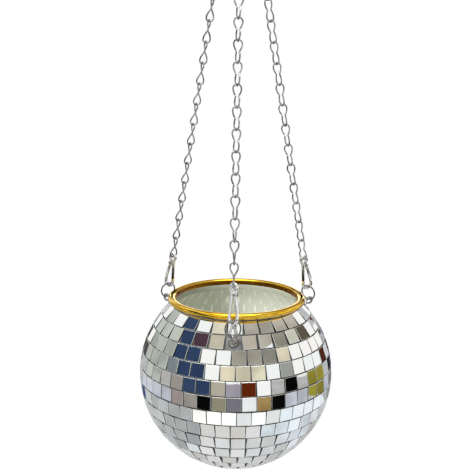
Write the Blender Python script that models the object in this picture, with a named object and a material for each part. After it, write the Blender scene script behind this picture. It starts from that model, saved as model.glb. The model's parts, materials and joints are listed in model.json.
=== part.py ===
"""Hanging mirror-ball planter: a tiled ball, open at the top, on three clipped jack chains.

The origin is the hang point, inside the top of the hook's bow. +Z is up and the front is -Y.
"""

import math

import bmesh
import bpy
from mathutils import Matrix, Vector

MM = 0.001

# Ball
BALL_RADIUS = 75 * MM  # to the faces of the tiles
SHELL_WALL = 2.4 * MM
FLOOR_RADIUS = 20 * MM  # flat floor inside, where a pot stands
NECK_RADIUS = 49 * MM  # outside of the short neck at the mouth
NECK_WALL = 2.2 * MM
NECK_HEIGHT = 4.25 * MM  # neck standing out of the ball
RIM_BEAD = 3.1 * MM  # radius of the gold bead
RIM_OUT = 1.2 * MM  # the bead's middle outside the neck
RIM_GAP = 0.55 * MM  # between the bead and the first row of tiles

# Mirror tiles
TILE_SIDE = 10 * MM
TILE_GAP = 0.75 * MM
TILE_THICKNESS = 1.3 * MM
BASE_MIRROR_RADIUS = 15.5 * MM
EYE_ROW = 1  # the second row from the mouth gives up a tile to each eye bolt

# Eye bolts, with their washers and nuts
EYE_WIRE = 1.8 * MM
EYE_RADIUS = 2.7 * MM  # middle of the eye's wire
EYE_STANDOFF = 8.5 * MM  # eye's centre above the tile faces
COLLAR_RADIUS = 3.65 * MM
COLLAR_HEIGHT = 1.2 * MM
WASHER_RADIUS = 3.6 * MM
WASHER_THICKNESS = 0.6 * MM
NUT_ACROSS_FLATS = 4 * MM
NUT_THICKNESS = 1.6 * MM
BOLT_TAIL = 1.2 * MM  # bolt showing past its nut

# Jump rings, snap clips and chains
RING_WIRE = 1.2 * MM
RING_RADIUS = 6 * MM
CLIP_WIRE = 2.4 * MM
CLIP_LENGTH = 27.4 * MM  # between the middles of its end wires
CLIP_BOW = 3.6 * MM  # radius of the lower end
CLIP_EYE = 2.6 * MM  # radius of the eye at the upper end
CLIP_EYE_LOW = math.radians(-15)  # where the eye's round ends and its wire runs in to the waist
WAIST_DROP = 5 * MM  # waist below the middle of the eye
WAIST_GAP = 0.4 * MM  # between the wire and the gate at the waist
GATE_LENGTH = 12.4 * MM  # from its pivot to its free end
GATE_DIAMETER = 2.6 * MM
GATE_BORE = 1.8 * MM
SPRING_LENGTH = 4 * MM
TANG_THICKNESS = 1.0 * MM
RIVET_DIAMETER = 1.0 * MM
RIVET_HEAD = 0.4 * MM
LINK_WIRE = 1.2 * MM
LINK_LENGTH = 16.4 * MM  # between the middles of its end wires
LINK_WIDTH = 5.9 * MM  # across the middle of the wire
LINK_COUNT = 19
LINK_BITE = 0.35 * MM  # depth to which neighbouring links are sunk, so that a chain is one solid

# Top ring and hanger hook
TOP_RING_WIRE = 2.5 * MM
TOP_RING_RADIUS = 11 * MM
HOOK_WIRE = 3.2 * MM
HOOK_BOW = 11 * MM  # inside radius of the open bow
HOOK_EYE = 5 * MM  # inside radius of the closed eye
HOOK_REACH = 26 * MM  # from the bow's centre to the eye's
HOOK_TIP = math.radians(200)

CLEARANCE = 0.3 * MM
ROUND_STEPS = 36  # facets round the ball and its rim

# The three hangers. Angles are in degrees about the chain, from the front view:
# the jump ring's turn, the clip's turn, and the turn of the top, middle and bottom links.
HANGERS = {
    "front": {"azimuth": -90, "ring": 28, "clip": -35, "links": (90, 8, -38), "gate_side": 1, "place": 0},
    "right": {"azimuth": 30, "ring": -35, "clip": 27, "links": (-90, -45, 42), "gate_side": 1, "place": 1},
    "left": {"azimuth": 150, "ring": 35, "clip": -35, "links": (-99, -90, -52), "gate_side": -1, "place": -1},
}

# Sizes that follow from the ball. Heights are from its centre.
SHELL_RADIUS = BALL_RADIUS - TILE_THICKNESS - CLEARANCE
SHELL_INSIDE = SHELL_RADIUS - SHELL_WALL
FLOOR_LEVEL = -math.sqrt(SHELL_INSIDE**2 - FLOOR_RADIUS**2)
NECK_TOP = math.sqrt(SHELL_RADIUS**2 - NECK_RADIUS**2) + NECK_HEIGHT
RIM_RADIUS = NECK_RADIUS + RIM_OUT
RIM_LEVEL = NECK_TOP + CLEARANCE  # the bead's rebate rests on the neck

# Sizes that follow from the clips and links
CLIP_WAIST = (CLIP_WIRE / 2 + GATE_DIAMETER / 2 + WAIST_GAP) / 2  # from the clip's middle to either side
CHAIN_SPACING = LINK_WIDTH - LINK_WIRE / 2  # on the top ring, where the links stand edge to edge
TOP_RING_SPREAD = math.asin(CHAIN_SPACING / TOP_RING_RADIUS)


def tiles_start():
    """Polar angle of the first row's upper edge, which keeps its gap to the bead."""
    far = math.hypot(RIM_RADIUS, RIM_LEVEL)
    apart = RIM_BEAD + RIM_GAP
    below = math.acos((far**2 + BALL_RADIUS**2 - apart**2) / (2 * far * BALL_RADIUS))
    return math.atan2(RIM_RADIUS, RIM_LEVEL) + below


def tile_rows():
    """Polar angles of the rows' middles. A tile's straight edge bulges past its row's circle, so the rows
    move apart towards the base, where the circles are small."""
    rows = []
    edge = tiles_start()
    base = math.pi - math.asin((BASE_MIRROR_RADIUS + TILE_GAP) / BALL_RADIUS)
    while edge + TILE_SIDE / BALL_RADIUS < base:
        rows.append(edge + TILE_SIDE / BALL_RADIUS / 2)
        edge += TILE_SIDE / BALL_RADIUS
        bulge = TILE_SIDE**2 / 8 / (BALL_RADIUS * math.sin(edge))
        edge += (TILE_GAP + bulge) / BALL_RADIUS
    return rows


EYE_POLAR = tile_rows()[EYE_ROW]


def material(name, colour, roughness, metallic):
    made = bpy.data.materials.new(name)
    made.use_nodes = True
    shader = made.node_tree.nodes["Principled BSDF"]
    shader.inputs["Base Color"].default_value = (*colour, 1)
    shader.inputs["Roughness"].default_value = roughness
    shader.inputs["Metallic"].default_value = metallic
    return made


def clear_scene():
    for obj in list(bpy.data.objects):
        bpy.data.objects.remove(obj)


def add_object(name, data, parent=None, location=(0, 0, 0), turn=0, finish=None):
    """An object under its parent, turned about the parent's Z axis."""
    obj = bpy.data.objects.new(name, data)
    bpy.context.scene.collection.objects.link(obj)
    obj.parent = parent
    obj.location = location
    obj.rotation_euler = (0, 0, turn)
    if finish:
        data.materials.append(finish)
    return obj


def add_empty(name, matrix):
    empty = bpy.data.objects.new(name, None)
    bpy.context.scene.collection.objects.link(empty)
    empty.matrix_world = matrix
    return empty


def helper(obj):
    """A cutter, or a shape that is joined into another object."""
    obj.hide_render = True
    obj.display_type = "WIRE"
    return obj


def boolean(obj, other, operation):
    modifier = obj.modifiers.new(operation.lower(), "BOOLEAN")
    modifier.operation = operation
    modifier.solver = "EXACT"
    modifier.object = helper(other)


def axes(origin, z_axis, x_hint):
    """A frame whose Z is z_axis and whose X is as near to x_hint as it can be."""
    z_axis = z_axis.normalized()
    x_axis = (x_hint - z_axis * x_hint.dot(z_axis)).normalized()
    y_axis = z_axis.cross(x_axis)
    columns = Matrix((x_axis, y_axis, z_axis)).transposed().to_4x4()
    columns.translation = origin
    return columns


def smooth(mesh, angle=40):
    mesh.shade_smooth()
    mesh.set_sharp_from_angle(angle=math.radians(angle))


def arc(centre, radius, start, end, steps):
    """Points in a plane from angle start to angle end, both included."""
    angles = [start + (end - start) * i / steps for i in range(steps + 1)]
    return [(centre[0] + radius * math.cos(a), centre[1] + radius * math.sin(a)) for a in angles]


def turned_mesh(name, profile, steps, closed=False):
    """A profile of (radius, height) points, turned about Z. Its outer side runs top to bottom."""
    work = bmesh.new()
    points = [work.verts.new((radius, 0, height)) for radius, height in profile]
    pairs = list(zip(points, points[1:]))
    if closed:
        pairs.append((points[-1], points[0]))
    edges = [work.edges.new(pair) for pair in pairs]
    bmesh.ops.spin(
        work,
        geom=points + edges,
        cent=(0, 0, 0),
        axis=(0, 0, 1),
        angle=2 * math.pi,
        steps=steps,
        use_merge=True,
    )
    bmesh.ops.remove_doubles(work, verts=work.verts, dist=0.001 * MM)
    bmesh.ops.dissolve_degenerate(work, edges=work.edges, dist=0.001 * MM)
    bmesh.ops.recalc_face_normals(work, faces=work.faces)
    mesh = bpy.data.meshes.new(name)
    work.to_mesh(mesh)
    work.free()
    smooth(mesh)
    return mesh


def wire_mesh(name, points, diameter, resolution=1, cyclic=False):
    """A round wire along points, as a mesh with closed ends."""
    curve = bpy.data.curves.new(name, "CURVE")
    curve.dimensions = "3D"
    curve.bevel_depth = diameter / 2
    curve.bevel_resolution = resolution
    curve.use_fill_caps = not cyclic
    spline = curve.splines.new("POLY")
    spline.points.add(len(points) - 1)
    spline.use_cyclic_u = cyclic
    for place, point in zip(spline.points, points):
        place.co = (*point, 1)
    holder = bpy.data.objects.new(name, curve)
    bpy.context.scene.collection.objects.link(holder)
    graph = bpy.context.evaluated_depsgraph_get()
    mesh = bpy.data.meshes.new_from_object(holder.evaluated_get(graph))
    bpy.data.objects.remove(holder)
    work = bmesh.new()
    work.from_mesh(mesh)
    bmesh.ops.remove_doubles(work, verts=work.verts, dist=0.001 * MM)
    bmesh.ops.recalc_face_normals(work, faces=work.faces)
    work.to_mesh(mesh)
    work.free()
    smooth(mesh, 60)
    return mesh


def cylinder_mesh(name, radius, low, high, sides=12, axis="Z"):
    """A closed cylinder along one axis, between two heights on it."""
    work = bmesh.new()
    bmesh.ops.create_cone(
        work,
        cap_ends=True,
        segments=sides,
        radius1=radius,
        radius2=radius,
        depth=high - low,
        matrix=Matrix.Translation((0, 0, (low + high) / 2)),
    )
    if axis == "Y":
        bmesh.ops.rotate(work, verts=work.verts, cent=(0, 0, 0), matrix=Matrix.Rotation(math.pi / 2, 3, "X"))
    mesh = bpy.data.meshes.new(name)
    work.to_mesh(mesh)
    work.free()
    smooth(mesh)
    return mesh


def box_mesh(name, low, high):
    work = bmesh.new()
    middle = [(a + b) / 2 for a, b in zip(low, high)]
    sides = [b - a for a, b in zip(low, high)]
    bmesh.ops.create_cube(work, size=1, matrix=Matrix.Translation(middle) @ Matrix.Diagonal((*sides, 1)))
    mesh = bpy.data.meshes.new(name)
    work.to_mesh(mesh)
    work.free()
    return mesh


def ball_direction(polar, azimuth):
    return Vector(
        (
            math.sin(polar) * math.cos(azimuth),
            math.sin(polar) * math.sin(azimuth),
            math.cos(polar),
        )
    )


# Where the pieces hang, worked out down from the hook and along each chain


def hook_centres():
    """Heights of the bow's and the eye's centres and of the middle of the eye's lowest wire."""
    bow = -HOOK_BOW
    eye = bow - HOOK_REACH
    return bow, eye, eye - HOOK_EYE - HOOK_WIRE / 2


def top_ring_centre():
    lowest = hook_centres()[2]
    return lowest + (HOOK_WIRE + TOP_RING_WIRE) / 2 + CLEARANCE - TOP_RING_RADIUS


def chain_top(hanger):
    """The middle of the top ring's wire where a chain hangs on it."""
    angle = hanger["place"] * TOP_RING_SPREAD
    return Vector(
        (TOP_RING_RADIUS * math.sin(angle), 0, top_ring_centre() - TOP_RING_RADIUS * math.cos(angle))
    )


def step(first, second):
    """Distance between the middles of two wires that pull on each other."""
    return (first + second) / 2 + CLEARANCE


EYE_SLACK = EYE_RADIUS - step(EYE_WIRE, RING_WIRE)
LINK_PITCH = LINK_LENGTH - LINK_WIRE + LINK_BITE
FITTINGS_LENGTH = (
    EYE_SLACK
    + 2 * RING_RADIUS
    - step(RING_WIRE, CLIP_WIRE)
    + CLIP_LENGTH
    - step(CLIP_WIRE, LINK_WIRE)
    - step(LINK_WIRE, TOP_RING_WIRE)
)
CHAIN_LENGTH = (LINK_COUNT - 1) * LINK_PITCH + LINK_LENGTH


def eye_offset(hanger):
    """The middle of an eye, from the ball's centre."""
    return (BALL_RADIUS + EYE_STANDOFF) * ball_direction(EYE_POLAR, math.radians(hanger["azimuth"]))


def ball_centre():
    """The ball hangs where the front chain is straight at its nominal length."""
    offset = eye_offset(HANGERS["front"])
    top = chain_top(HANGERS["front"])
    across = math.hypot(offset.x - top.x, offset.y - top.y)
    drop = math.sqrt((FITTINGS_LENGTH + CHAIN_LENGTH) ** 2 - across**2)
    return Vector((0, 0, top.z - drop - offset.z))


def hanger_frame(hanger):
    """Frame along a chain: Z runs up it, X is to the right in the front view, the origin is in the eye."""
    eye = ball_centre() + eye_offset(hanger)
    pull = chain_top(hanger) - eye
    return axes(eye + pull.normalized() * EYE_SLACK, pull, Vector((1, 0, 0)))


# The ball


def shell_profile():
    """Down the outside of the neck and ball, from the floor's middle round the mouth."""
    neck_inside = NECK_RADIUS - NECK_WALL
    floor_angle = math.atan2(FLOOR_LEVEL, FLOOR_RADIUS)
    mouth_inside = math.acos(neck_inside / SHELL_INSIDE)
    mouth_outside = math.acos(NECK_RADIUS / SHELL_RADIUS)
    inside = arc((0, 0), SHELL_INSIDE, floor_angle, mouth_inside, 9)
    outside = arc((0, 0), SHELL_RADIUS, mouth_outside, -math.pi / 2, 12)
    outside[-1] = (0, -SHELL_RADIUS)
    lip = [(neck_inside, NECK_TOP), (NECK_RADIUS, NECK_TOP)]
    return [(0, FLOOR_LEVEL), *inside, *lip, *outside]


def build_shell(planter, finish):
    """The shell is drilled for each eye bolt, and spot faced inside as a flat seat for its washer."""
    mesh = turned_mesh("ball_shell", shell_profile(), ROUND_STEPS)
    shell = add_object("ball_shell", mesh, planter, finish=finish)
    well_inside = SHELL_INSIDE - SHELL_WALL
    for name, hanger in HANGERS.items():
        normal = ball_direction(EYE_POLAR, math.radians(hanger["azimuth"]))
        hole = cylinder_mesh("bolt_hole", EYE_WIRE / 2 + CLEARANCE, well_inside, BALL_RADIUS, 10)
        seat = cylinder_mesh("washer_seat", WASHER_RADIUS + CLEARANCE, well_inside, SHELL_INSIDE, 14)
        for mesh in (hole, seat):
            cutter = add_object(f"{mesh.name}_{name}", mesh, planter)
            cutter.rotation_euler = normal.to_track_quat("Z", "Y").to_euler()
            boolean(shell, cutter, "DIFFERENCE")


def build_rim(planter, finish):
    """A round bead with its inner lower quarter rebated over the neck's lip."""
    inner = NECK_RADIUS + CLEARANCE
    centre = (RIM_RADIUS, RIM_LEVEL)
    low = math.acos((inner - RIM_RADIUS) / RIM_BEAD)
    rebate = (inner, RIM_LEVEL)
    bead = arc(centre, RIM_BEAD, math.pi, -low, 8)
    profile = [rebate, *bead]
    add_object("rim_bead", turned_mesh("rim_bead", profile, ROUND_STEPS, closed=True), planter, finish=finish)


def row_circles(polar):
    """(radius, height) of a tile row's outer upper, outer lower, inner lower and inner upper edges."""
    normal = Vector((math.sin(polar), math.cos(polar)))
    down = Vector((math.cos(polar), -math.sin(polar)))
    face = normal * BALL_RADIUS
    back = normal * (BALL_RADIUS - TILE_THICKNESS)
    half = down * TILE_SIDE / 2
    return [face - half, face + half, back + half, back - half]


def tiles_in_row(polar):
    """As many whole tiles as the row's shortest edge takes."""
    shortest = min(edge.x for edge in row_circles(polar))
    return int(2 * math.pi * shortest / (TILE_SIDE + TILE_GAP / 2))


def row_mesh(name, polar, count, first, last, start):
    """Flat tiles first to last of a row of count, edge to edge. start is the first tile's left edge."""
    whole = last - first == count
    work = bmesh.new()
    loops = []
    for edge in row_circles(polar):
        corner = math.hypot(edge.x, TILE_SIDE / 2)
        angles = [start + 2 * math.pi * i / count for i in range(first, last + (not whole))]
        loops.append([work.verts.new((corner * math.cos(a), corner * math.sin(a), edge.y)) for a in angles])
    tiles = last - first
    for upper, lower in zip(loops, loops[1:] + loops[:1]):
        for i in range(tiles):
            j = (i + 1) % len(upper)
            work.faces.new((upper[i], lower[i], lower[j], upper[j]))
    if not whole:
        work.faces.new([loop[0] for loop in reversed(loops)])
        work.faces.new([loop[-1] for loop in loops])
    bmesh.ops.recalc_face_normals(work, faces=work.faces)
    mesh = bpy.data.meshes.new(name)
    work.to_mesh(mesh)
    work.free()
    return mesh


def build_tiles(planter, finish):
    """Rows of mirror tiles from the mouth to the base, and a round mirror that closes the base."""
    for row, polar in enumerate(tile_rows()):
        count = tiles_in_row(polar)
        name = f"mirror_row_{row + 1:02d}"
        if row != EYE_ROW:
            start = math.pi / count * (row % 2)
            mesh = row_mesh(name, polar, count, 0, count, start)
            add_object(name, mesh, planter, finish=finish)
            continue
        share = count // len(HANGERS)
        for side, hanger in HANGERS.items():
            start = math.radians(hanger["azimuth"]) - math.pi / (share * len(HANGERS))
            mesh = row_mesh(name, polar, share * len(HANGERS), 1, share, start)
            add_object(f"{name}_{side}", mesh, planter, finish=finish)
    disc = cylinder_mesh("base_mirror", BASE_MIRROR_RADIUS, -BALL_RADIUS, -BALL_RADIUS + TILE_THICKNESS, 24)
    add_object("base_mirror", disc, planter, finish=finish)


# Eye bolts through the shell


def build_eye_bolt(name, hanger, planter_matrix, steel):
    """Bolt, washer and nut. In the anchor's frame Z points out of the ball and X is the eye's own axis."""
    normal = ball_direction(EYE_POLAR, math.radians(hanger["azimuth"]))
    chain = hanger_frame(hanger)
    across = Matrix.Rotation(math.radians(hanger["ring"]), 3, chain.col[2].xyz) @ chain.col[0].xyz
    anchor = add_empty(f"anchor_{name}", planter_matrix @ axes(Vector(), normal, across))
    eye_level = BALL_RADIUS + EYE_STANDOFF
    washer_top = SHELL_INSIDE - CLEARANCE
    washer_low = washer_top - WASHER_THICKNESS
    nut_top = washer_low - CLEARANCE
    nut_low = nut_top - NUT_THICKNESS

    ring = [(0, x, y) for x, y in arc((0, eye_level), EYE_RADIUS, 0, 2 * math.pi, 18)[:-1]]
    bolt = add_object(
        f"eye_bolt_{name}", wire_mesh("eye", ring, EYE_WIRE, cyclic=True), anchor, finish=steel
    )
    shank = cylinder_mesh("shank", EYE_WIRE / 2, nut_low - BOLT_TAIL, eye_level - EYE_RADIUS, 10)
    boolean(bolt, add_object(f"shank_{name}", shank, anchor), "UNION")
    collar_low = SHELL_RADIUS + CLEARANCE
    collar = cylinder_mesh("collar", COLLAR_RADIUS, collar_low, collar_low + COLLAR_HEIGHT, 12)
    boolean(bolt, add_object(f"collar_{name}", collar, anchor), "UNION")

    bore = EYE_WIRE / 2 + CLEARANCE
    edge = WASHER_RADIUS
    washer = [(bore, washer_top), (edge, washer_top), (edge, washer_low), (bore, washer_low)]
    add_object(f"washer_{name}", turned_mesh("washer", washer, 14, closed=True), anchor, finish=steel)
    corner = NUT_ACROSS_FLATS / 2 / math.cos(math.pi / 6)
    nut = add_object(
        f"nut_{name}", cylinder_mesh("nut", corner, nut_low, nut_top, 6), anchor, finish=steel
    )
    thread = cylinder_mesh("thread", bore, nut_low - CLEARANCE, nut_top + CLEARANCE, 10)
    boolean(nut, add_object(f"thread_{name}", thread, anchor), "DIFFERENCE")


# Jump rings and snap clips


def build_jump_ring(name, hanger, frame, steel):
    """A closed wire ring. Its axis is its own Y."""
    ring = [(x, 0, z) for x, z in arc((0, 0), RING_RADIUS, 0, 2 * math.pi, 24)[:-1]]
    mesh = wire_mesh("jump_ring", ring, RING_WIRE, cyclic=True)
    turn = math.radians(hanger["ring"])
    add_object(f"jump_ring_{name}", mesh, frame, (0, 0, RING_RADIUS), turn, steel)


def clip_points(side):
    """(sideways, up) places on a clip: its nose, its gate's pivot, and its wire's end above the pivot."""
    pivot = Vector((side * CLIP_WAIST, CLIP_LENGTH - CLIP_EYE - WAIST_DROP))
    run = side * CLIP_BOW - pivot.x
    nose = pivot + Vector((run, -math.sqrt((GATE_LENGTH + CLEARANCE) ** 2 - run**2)))
    swing = GATE_DIAMETER / math.sqrt(2)  # the gate's square upper end turns inside this radius
    return nose, pivot, pivot + (pivot - nose).normalized() * (swing + CLEARANCE)


def build_clip(name, hanger, frame, steel):
    """A snap clip: a wire bent into an eye, a waist and a bow, and a sprung gate riveted at the waist."""
    side = hanger["gate_side"]
    nose, pivot, wire_end = clip_points(side)
    height = 2 * RING_RADIUS - step(RING_WIRE, CLIP_WIRE)
    turn = Matrix.Rotation(math.radians(hanger["clip"]), 4, "Z")
    clip = add_empty(f"clip_{name}", frame.matrix_world @ Matrix.Translation((0, 0, height)) @ turn)

    bow = arc((0, CLIP_BOW), CLIP_BOW, 0, -math.pi, 10)
    eye = arc((0, CLIP_LENGTH - CLIP_EYE), CLIP_EYE, math.pi - CLIP_EYE_LOW, CLIP_EYE_LOW, 10)
    route = [(abs(nose.x), nose.y), *bow, (-CLIP_WAIST, pivot.y), *eye, (abs(wire_end.x), wire_end.y)]
    wire = [(side * x, 0, z) for x, z in route]
    body = add_object(f"clip_body_{name}", wire_mesh("clip_body", wire, CLIP_WIRE), clip, finish=steel)

    lean = math.atan2(nose.x - pivot.x, pivot.y - nose.y)
    gate_frame = Matrix.Translation((pivot.x, 0, pivot.y)) @ Matrix.Rotation(-lean, 4, "Y")
    hinge = add_empty(f"gate_hinge_{name}", clip.matrix_world @ gate_frame)
    build_tang(name, body, hinge, (wire_end - pivot).length)
    build_gate(name, hinge, steel)


def build_tang(name, body, hinge, reach):
    """A flat tongue on the end of the wire, rounded about the pivot and drilled for the rivet."""
    radius = GATE_DIAMETER / 2
    half = TANG_THICKNESS / 2
    tang = add_object(f"tang_{name}", cylinder_mesh("tang", radius, -half, half, 14, axis="Y"), hinge)
    width = 0.8 * radius  # a little narrower and thinner than the tongue, and sunk into the wire
    depth = 0.9 * half
    root = box_mesh("tang_root", (-width, -depth, 0), (width, depth, reach + CLIP_WIRE / 4))
    boolean(tang, add_object(f"tang_root_{name}", root, hinge), "UNION")
    boolean(body, tang, "UNION")
    hole = cylinder_mesh("rivet_hole", RIVET_DIAMETER / 2 + CLEARANCE, -CLIP_WIRE, CLIP_WIRE, 10, axis="Y")
    boolean(body, add_object(f"rivet_hole_{name}", hole, hinge), "DIFFERENCE")


def build_gate(name, hinge, steel):
    """The gate hangs down from its pivot: slotted over the tang, cross drilled, and bored for its spring."""
    radius = GATE_DIAMETER / 2
    slot_floor = -(radius + CLEARANCE)
    gate = add_object(
        f"clip_gate_{name}", cylinder_mesh("gate", radius, -GATE_LENGTH, radius, 12), hinge, finish=steel
    )
    half_slot = TANG_THICKNESS / 2 + CLEARANCE
    wide = GATE_DIAMETER
    slot = box_mesh("slot", (-wide, -half_slot, slot_floor), (wide, half_slot, wide))
    boolean(gate, add_object(f"gate_slot_{name}", slot, hinge), "DIFFERENCE")
    bore_floor = slot_floor - SPRING_LENGTH - CLEARANCE
    bore = cylinder_mesh("bore", GATE_BORE / 2, bore_floor, slot_floor + CLEARANCE, 8)
    boolean(gate, add_object(f"gate_bore_{name}", bore, hinge), "DIFFERENCE")
    cross = cylinder_mesh("cross_hole", RIVET_DIAMETER / 2 + CLEARANCE, -wide, wide, 10, axis="Y")
    boolean(gate, add_object(f"gate_cross_{name}", cross, hinge), "DIFFERENCE")

    spring = cylinder_mesh("spring", GATE_BORE / 2 - CLEARANCE, slot_floor - SPRING_LENGTH, slot_floor, 8)
    add_object(f"gate_spring_{name}", spring, hinge, finish=steel)
    face = radius + CLEARANCE
    head = RIVET_DIAMETER / 2 + 2 * CLEARANCE
    pin = RIVET_DIAMETER / 2
    rivet = [
        (0, face + RIVET_HEAD),
        (head * 0.7, face + RIVET_HEAD),
        (head, face),
        (pin, face),
        (pin, -face),
        (head, -face),
        (head * 0.7, -face - RIVET_HEAD),
        (0, -face - RIVET_HEAD),
    ]
    pin_object = add_object(f"gate_rivet_{name}", turned_mesh("rivet", rivet, 8), hinge, finish=steel)
    pin_object.rotation_euler = (math.pi / 2, 0, 0)


# Chains


def link_points():
    """One jack-chain link: a wire figure of eight whose lower loop is turned square to its upper loop."""
    points = []
    count = 10
    first = math.pi / count  # half a step, so that each end of the link is a short straight run
    waist = 0.75 * LINK_WIRE  # each pass of the wire stands off the middle by this
    for i in range(count):
        angle = first + 2 * math.pi * i / count
        out = LINK_WIDTH / 2 * math.sin(2 * angle) / math.sin(6 * first)
        off = waist * math.sin(angle) ** 3 / math.sqrt(2)
        upper = math.cos(angle) > 0
        across = (out if upper else 0) + off
        along = (0 if upper else out) + off
        points.append((across, along, LINK_LENGTH / 2 * math.cos(angle) / math.cos(first)))
    return points


def link_turn(hanger, share):
    """A link's turn about its chain, from 0 at the top to 1 at the bottom: a curve through three angles."""
    top, middle, bottom = hanger["links"]
    turn = top * (2 * share - 1) * (share - 1)
    turn += middle * 4 * share * (1 - share)
    turn += bottom * share * (2 * share - 1)
    return math.radians(turn)


def links_mesh(name, places):
    """Links at (height, turn) places, as one mesh. The places are far enough apart that no two touch."""
    work = bmesh.new()
    link = wire_mesh("link", link_points(), LINK_WIRE, 0, cyclic=True)
    for height, turn in places:
        before = len(work.verts)
        work.from_mesh(link)
        work.verts.ensure_lookup_table()
        place = Matrix.Translation((0, 0, height)) @ Matrix.Rotation(turn, 4, "Z")
        bmesh.ops.transform(work, matrix=place, verts=work.verts[before:])
    mesh = bpy.data.meshes.new(name)
    work.to_mesh(mesh)
    work.free()
    return mesh


def build_chain(name, hanger, frame, steel):
    """A taut chain, from its top link on the top ring to its bottom link in the clip."""
    low = 2 * RING_RADIUS - step(RING_WIRE, CLIP_WIRE) + CLIP_LENGTH - step(CLIP_WIRE, LINK_WIRE)
    top = (chain_top(hanger) - frame.matrix_world.translation).length + step(LINK_WIRE, TOP_RING_WIRE)
    pitch = (top - low - LINK_LENGTH) / (LINK_COUNT - 1)
    places = []
    for i in range(LINK_COUNT):
        turn = link_turn(hanger, i / (LINK_COUNT - 1))
        places.append((top - LINK_LENGTH / 2 - i * pitch, turn))
    chain = add_object(f"chain_{name}", links_mesh("odd_links", places[::2]), frame, finish=steel)
    boolean(chain, add_object(f"even_links_{name}", links_mesh("even_links", places[1::2]), frame), "UNION")


# Top ring and hook


def build_top_ring(steel):
    """A closed ring in the XZ plane: it hangs in the hook's eye, and the chains hang on it."""
    ring = [(x, 0, z) for x, z in arc((0, 0), TOP_RING_RADIUS, 0, 2 * math.pi, 28)[:-1]]
    mesh = wire_mesh("top_ring", ring, TOP_RING_WIRE, cyclic=True)
    add_object("top_ring", mesh, location=(0, 0, top_ring_centre()), finish=steel)


def build_hook(steel):
    """An S of wire in the YZ plane: an open bow above, and an eye that closes on the shank below."""
    bow_level, eye_level, _ = hook_centres()
    bow_radius = HOOK_BOW + HOOK_WIRE / 2
    eye_radius = HOOK_EYE + HOOK_WIRE / 2
    lean = math.asin((bow_radius + eye_radius) / HOOK_REACH)
    closing = 2 * math.asin((HOOK_WIRE + 2 * CLEARANCE) / (2 * eye_radius))
    bow = arc((0, bow_level), bow_radius, HOOK_TIP, -lean, 16)
    eye = arc((0, eye_level), eye_radius, math.pi - lean, 3 * math.pi - lean - closing, 18)
    wire = [(0, y, z) for y, z in [*bow, *eye]]
    add_object("hanger_hook", wire_mesh("hanger_hook", wire, HOOK_WIRE, 2), finish=steel)


def main():
    clear_scene()
    steel = material("bright_steel", (0.78, 0.79, 0.8), 0.15, 1)
    gold = material("gold_plating", (0.85, 0.58, 0.14), 0.12, 1)
    mirror = material("mirror_glass", (0.86, 0.88, 0.9), 0.03, 1)
    plastic = material("grey_plastic", (0.6, 0.63, 0.57), 0.35, 0)

    planter = add_empty("planter", Matrix.Translation(ball_centre()))
    build_shell(planter, plastic)
    build_rim(planter, gold)
    build_tiles(planter, mirror)
    build_top_ring(steel)
    build_hook(steel)
    for name, hanger in HANGERS.items():
        frame = add_empty(f"hanger_{name}", hanger_frame(hanger))
        bpy.context.view_layer.update()
        build_eye_bolt(name, hanger, Matrix.Translation(ball_centre()), steel)
        build_jump_ring(name, hanger, frame, steel)
        build_clip(name, hanger, frame, steel)
        build_chain(name, hanger, frame, steel)


main()
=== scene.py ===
# %% [markdown]
# A mirror-ball planter
#
# The planter is a plastic ball, open at the top and covered with small mirrors. It hangs from a hook on
# three chains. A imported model, the frame, already holds every piece at its real size and place. This lesson
# models the fine shape of each piece over that frame, gives every finish its nodes and builds a small studio.

# %% Load the frame
import contextlib
import json
import math
import random

import bmesh
import bpy
from mathutils import Matrix, Vector


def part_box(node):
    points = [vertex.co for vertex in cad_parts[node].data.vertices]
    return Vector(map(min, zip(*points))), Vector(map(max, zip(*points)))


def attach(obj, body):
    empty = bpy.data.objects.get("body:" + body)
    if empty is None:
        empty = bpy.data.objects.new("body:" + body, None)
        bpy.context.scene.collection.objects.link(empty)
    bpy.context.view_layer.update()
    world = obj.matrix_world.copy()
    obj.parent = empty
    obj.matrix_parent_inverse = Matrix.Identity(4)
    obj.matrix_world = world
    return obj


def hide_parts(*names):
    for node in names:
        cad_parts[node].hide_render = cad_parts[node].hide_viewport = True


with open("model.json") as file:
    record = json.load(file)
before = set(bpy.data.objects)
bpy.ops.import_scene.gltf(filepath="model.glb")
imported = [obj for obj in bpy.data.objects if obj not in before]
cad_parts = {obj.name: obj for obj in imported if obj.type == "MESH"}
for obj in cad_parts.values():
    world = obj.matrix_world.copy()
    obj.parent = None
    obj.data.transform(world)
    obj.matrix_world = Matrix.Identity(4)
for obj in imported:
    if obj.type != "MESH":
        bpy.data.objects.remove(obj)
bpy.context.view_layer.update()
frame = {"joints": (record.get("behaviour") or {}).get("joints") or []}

# %% [markdown]
# Everything is placed from a few marks on the frame. The ball's centre is one ball radius above the round
# mirror that closes its base, and the joints give the line of each chain. Azimuths are measured from the
# front, which is -Y, towards the right, which is +X.

# %% Marks on the frame
MM = 0.001
BALL_RADIUS = 75 * MM  # to the faces of the tiles
CENTRE = Vector((0, 0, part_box("base_mirror")[0].z + BALL_RADIUS))
SIDES = {"front": 0, "right": 120, "left": -120}  # azimuths of the three hangers
joints = {joint["name"]: joint for joint in frame["joints"]}


def direction(right, up):
    """Unit vector from an azimuth and an elevation in degrees."""
    right, up = math.radians(right), math.radians(up)
    return Vector((math.sin(right) * math.cos(up), -math.cos(right) * math.cos(up), math.sin(up)))


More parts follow.
